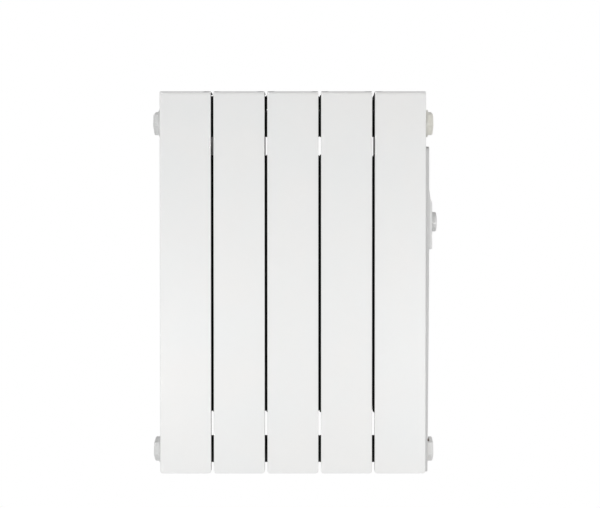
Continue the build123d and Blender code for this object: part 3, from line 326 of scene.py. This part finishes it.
WHITE = (0.80, 0.80, 0.797)
FINISHES = {
    "powder_coat": powder_coat("PowderCoatWhite", WHITE, with_painted_shade=True),
    "plug_enamel": enamel("PlugEnamel", (0.87, 0.875, 0.87), (0.90, 0.885, 0.815)),
    "white_plastic": moulded("WhitePlastic", (0.76, 0.76, 0.755)),
    "knob_plastic": moulded("KnobPlastic", (0.72, 0.72, 0.715), gloss=0.34, texture=0.2),
    "grey_plastic": moulded("GreyPlastic", (0.16, 0.165, 0.17)),
    "rubber": rubber("RubberBlack"),
    "zinc_steel": metal("ZincSteel", (0.62, 0.63, 0.65), (0.58, 0.56, 0.48), streaks=(1, 0.1, 0.1)),
    "sheath_steel": metal("SheathSteel", (0.30, 0.28, 0.26), (0.42, 0.36, 0.28), 0.42, (0.06, 1, 1)),
    "brass": metal("TurnedBrass", (0.72, 0.52, 0.22), (0.60, 0.40, 0.15), 0.28, (4, 0.1, 0.1)),
    "cast_aluminium": raw_casting("CastAluminium"),
    "bracket_enamel": powder_coat("BracketEnamel", (0.74, 0.74, 0.735)),
    "nylon": moulded("NaturalNylon", (0.70, 0.69, 0.62), gloss=0.5),
    "board_resin": circuit_board("SolderMask"),
    "relay_plastic": moulded("RelayPlastic", (0.02, 0.05, 0.20), gloss=0.3),
    "black_plastic": moulded("BlackPlastic", (0.02, 0.02, 0.021), gloss=0.3),
    "lens_plastic": lens("AmberLens", (0.85, 0.28, 0.05)),
    "brown_insulation": insulation("BrownInsulation", (0.13, 0.05, 0.02)),
    "blue_insulation": insulation("BlueInsulation", (0.02, 0.09, 0.42)),
    "earth_insulation": earth_insulation("EarthInsulation"),
    "white_insulation": insulation("WhiteInsulation", (0.68, 0.68, 0.66)),
}

# painted light: the cap is a lighter copy of its slot's plastic, lighter than the other pieces of its
# slot, to make up for the shade of the cover's opening around it
NODE_LIT_COPIES = {"heater_cap": moulded("CapPlasticPaintedLight", (0.93, 0.93, 0.92))}

node_slots = {entry["node"]: entry["material_slot"] for entry in frame["record"]["subparts"]}
for node_name, piece in frame["nodes"].items():
    piece.data.materials.clear()
    piece.data.materials.append(NODE_LIT_COPIES.get(node_name, FINISHES[node_slots[node_name]]))


# ---- printed and inlaid marks on the controls ----------------------------------------------
def marks_object(name, bars, thickness, body, material):
    """Thin raised bars that face +X, each (x, y, z, length, width, angle about +X)."""
    mesh = bpy.data.meshes.new(name)
    shape = bmesh.new()
    for x, y, z, length, width, angle in bars:
        half_round = width / 2
        straight = length / 2 - half_round
        outline = []
        for end in (1, -1):
            for step in range(7):
                turn = math.pi * step / 6
                across = half_round * math.cos(turn) * end
                along = (straight + half_round * math.sin(turn)) * end
                outline.append((across, along))
        rings = []
        for lift, shrink in ((0.0, 1.0), (thickness * 0.6, 1.0), (thickness, 0.86)):
            ring = []
            for across, along in outline:
                turned_y = across * shrink * math.cos(angle) - along * math.sin(angle)
                turned_z = across * shrink * math.sin(angle) + along * math.cos(angle)
                ring.append(shape.verts.new((x + lift, y + turned_y, z + turned_z)))
            rings.append(ring)
        for lower, upper in zip(rings, rings[1:]):
            for i, vertex in enumerate(lower):
                j = (i + 1) % len(lower)
                shape.faces.new((vertex, lower[j], upper[j], upper[i]))
        shape.faces.new(rings[-1])
        shape.faces.new(list(reversed(rings[0])))
    bmesh.ops.recalc_face_normals(shape, faces=shape.faces)
    shape.to_mesh(mesh)
    shape.free()
    piece = bpy.data.objects.new(name, mesh)
    bpy.context.scene.collection.objects.link(piece)
    mesh.materials.append(material)
    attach(piece, body)


knob_low, knob_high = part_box("thermostat_knob")
fascia_face_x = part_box("control_fascia")[1][0]
collar_low, collar_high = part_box("knob_collar")
knob_y = (knob_low[1] + knob_high[1]) / 2
knob_z = (knob_low[2] + knob_high[2]) / 2
knob_radius = (knob_high[2] - knob_low[2]) / 2
collar_radius = (collar_high[2] - collar_low[2]) / 2
ink = moulded("PrintedGrey", (0.11, 0.115, 0.12), gloss=0.5, texture=0.2)

GROOVE_DEPTH = 0.7 * MM
POINTER_INSET = 5.5 * MM
POINTER_LENGTH = 6.2 * MM
POINTER_WIDTH = 1.1 * MM
POINTER_THICKNESS = 0.35 * MM
pointer_x = knob_high[0] - GROOVE_DEPTH
pointer_z = knob_z + knob_radius - POINTER_INSET
marks_object(
    "knob_pointer",
    [(pointer_x, knob_y, pointer_z, POINTER_LENGTH, POINTER_WIDTH, 0.0)],
    POINTER_THICKNESS,
    "thermostat_knob",
    ink,
)

TICKS = 11
TICK_SPACING_DEGREES = 27
TICKS_TO_A_LONG_ONE = 5
LONG_TICK = 2.4
SHORT_TICK = 1.5
TICK_GAP = 1.0 * MM
TICK_WIDTH = 0.5 * MM
TICK_THICKNESS = 0.08 * MM
dial_ticks = []
for tick in range(TICKS):
    turn = math.radians(TICK_SPACING_DEGREES * tick)
    length = (LONG_TICK if tick % TICKS_TO_A_LONG_ONE == 0 else SHORT_TICK) * MM
    reach = collar_radius + TICK_GAP + length / 2
    tick_y = knob_y - reach * math.sin(turn)
    tick_z = knob_z + reach * math.cos(turn)
    dial_ticks.append((fascia_face_x, tick_y, tick_z, length, TICK_WIDTH, turn))
marks_object("dial_ticks", dial_ticks, TICK_THICKNESS, "radiator", ink)


# ---- light, floor and camera --------------------------------------------------------------
def area_light(name, place, target, size, power):
    data = bpy.data.lights.new(name, "AREA")
    data.shape = "SQUARE"
    data.size = size
    data.energy = power
    light = bpy.data.objects.new(name, data)
    bpy.context.scene.collection.objects.link(light)
    light.location = place
    light.rotation_euler = (Vector(target) - Vector(place)).to_track_quat("-Z", "Y").to_euler()


# the background is white to the camera, and lights the object less strongly than that
SKY_SEEN = 1.0
SKY_LIGHT = 0.55
world = bpy.data.worlds.new("StudioWhite")
world.use_nodes = True
background = world.node_tree.nodes["Background"]
background.inputs["Color"].default_value = (1.0, 1.0, 1.0, 1.0)
sky_rays = world.node_tree.nodes.new("ShaderNodeLightPath")
sky_level = world.node_tree.nodes.new("ShaderNodeMapRange")
sky_level.inputs["To Min"].default_value = SKY_LIGHT
sky_level.inputs["To Max"].default_value = SKY_SEEN
world.node_tree.links.new(sky_rays.outputs["Is Camera Ray"], sky_level.inputs["Value"])
world.node_tree.links.new(sky_level.outputs["Result"], background.inputs["Strength"])
bpy.context.scene.world = world
bpy.context.scene.view_settings.view_transform = "Standard"

LAMP_SIZE = 0.24
LAMP_POWER = 7.0
LAMP_Y = FRONT_Y - 1.65
LAMP_Z = PANEL_MID - 0.30
middle = (0.0, FRONT_Y, PANEL_MID)
for lamp_name, lamp_x in (("SoftKey", -0.55), ("SoftFill", 0.60)):
    area_light(lamp_name, (lamp_x, LAMP_Y, LAMP_Z), middle, LAMP_SIZE, LAMP_POWER)

FLOOR_RADIUS = 1.25
FLOOR_DROP = 0.15
FLOOR_FORWARD = 0.9
floor_mesh = bpy.data.meshes.new("Floor")
shape = bmesh.new()
bmesh.ops.create_circle(shape, cap_ends=True, segments=128, radius=FLOOR_RADIUS)
shape.to_mesh(floor_mesh)
shape.free()
floor = bpy.data.objects.new("Floor", floor_mesh)
bpy.context.scene.collection.objects.link(floor)
floor.location = (0.0, FRONT_Y - FLOOR_FORWARD, PANEL_BOTTOM - FLOOR_DROP)
floor_nodes = Nodes("PaleFloor")
floor_drift = floor_nodes.smooth(floor_nodes.noise(3, 3), 0.3, 0.7)
floor_tone = floor_nodes.mix(floor_drift, (0.93, 0.93, 0.93), (0.90, 0.90, 0.90))
floor_grain = floor_nodes.bump(floor_nodes.noise(300), 0.1, MM)
floor_mesh.materials.append(floor_nodes.finish(floor_tone, 0.6, floor_grain))

# the camera's distance and sensor are assumed; its other settings are fitted to the photograph
CAMERA_DISTANCE = 1.5
CAMERA_X = 0.032
CAMERA_ABOVE_MID = 0.065
CAMERA_DOWN_DEGREES = 0.852
SENSOR_WIDTH_MM = 36.0
LENS_MM = 60.5
LENS_SHIFT_X = -0.0239
camera_data = bpy.data.cameras.new("Camera")
camera_data.sensor_width = SENSOR_WIDTH_MM
camera_data.lens = LENS_MM
camera_data.shift_x = LENS_SHIFT_X
camera = bpy.data.objects.new("Camera", camera_data)
bpy.context.scene.collection.objects.link(camera)
camera.location = (CAMERA_X, FRONT_Y - CAMERA_DISTANCE, PANEL_MID + CAMERA_ABOVE_MID)
camera.rotation_euler = (math.radians(90 - CAMERA_DOWN_DEGREES), 0.0, 0.0)
bpy.context.scene.camera = camera
